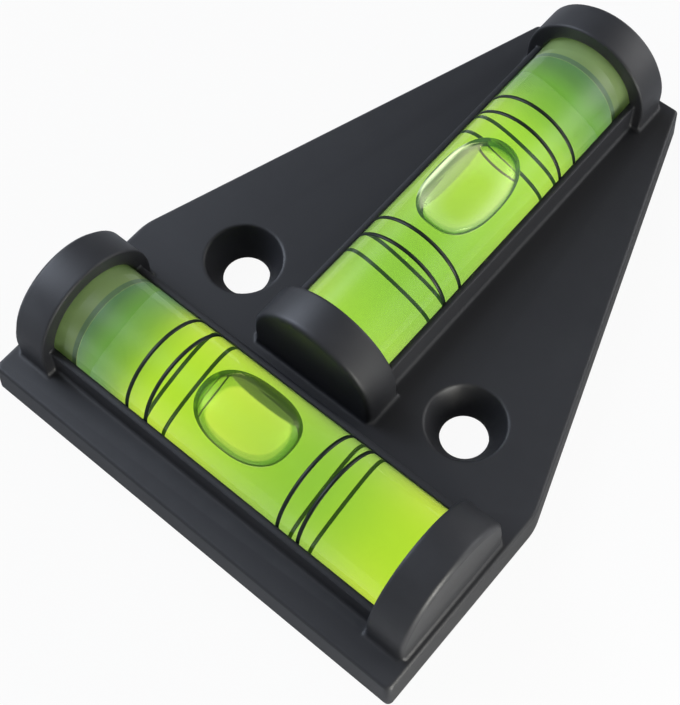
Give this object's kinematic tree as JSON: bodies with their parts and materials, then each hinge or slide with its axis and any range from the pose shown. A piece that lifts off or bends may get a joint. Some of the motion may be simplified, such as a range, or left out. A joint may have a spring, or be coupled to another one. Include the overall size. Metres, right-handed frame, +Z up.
{
  "type": "cross spirit level",
  "caption": "Small surface spirit level: a tapered black moulded plate holds a cross vial and a lengthwise vial under half-round hoods, with countersunk screw holes.",
  "frame": {"origin": "middle of the resting face: centre of the bounding box in X and Y, at its bottom in Z", "axes": "+Z up out of the mounting face, +Y along the lengthwise vial towards the narrow end, +X along the cross vial"},
  "size_m": [0.0518, 0.07, 0.0137],
  "materials": {
    "black_moulding": "black moulded plastic with a fine spark-textured surface, faint sheen on the rounded edges",
    "clear_acrylic": "clear polished acrylic",
    "plug_acrylic": "clear acrylic plug, slightly cloudy from its cement",
    "green_liquid": "transparent fluorescent yellow-green liquid",
    "black_lines": "thin bands of black ink round the barrel"
  },
  "bodies": {
    "root": {"level_base": "black_moulding", "cross_vial_tube": "clear_acrylic", "cross_vial_plug": "plug_acrylic", "cross_vial_liquid": "green_liquid", "cross_vial_lines": "black_lines", "long_vial_tube": "clear_acrylic", "long_vial_plug": "plug_acrylic", "long_vial_liquid": "green_liquid", "long_vial_lines": "black_lines"}
  },
  "joints": []
}
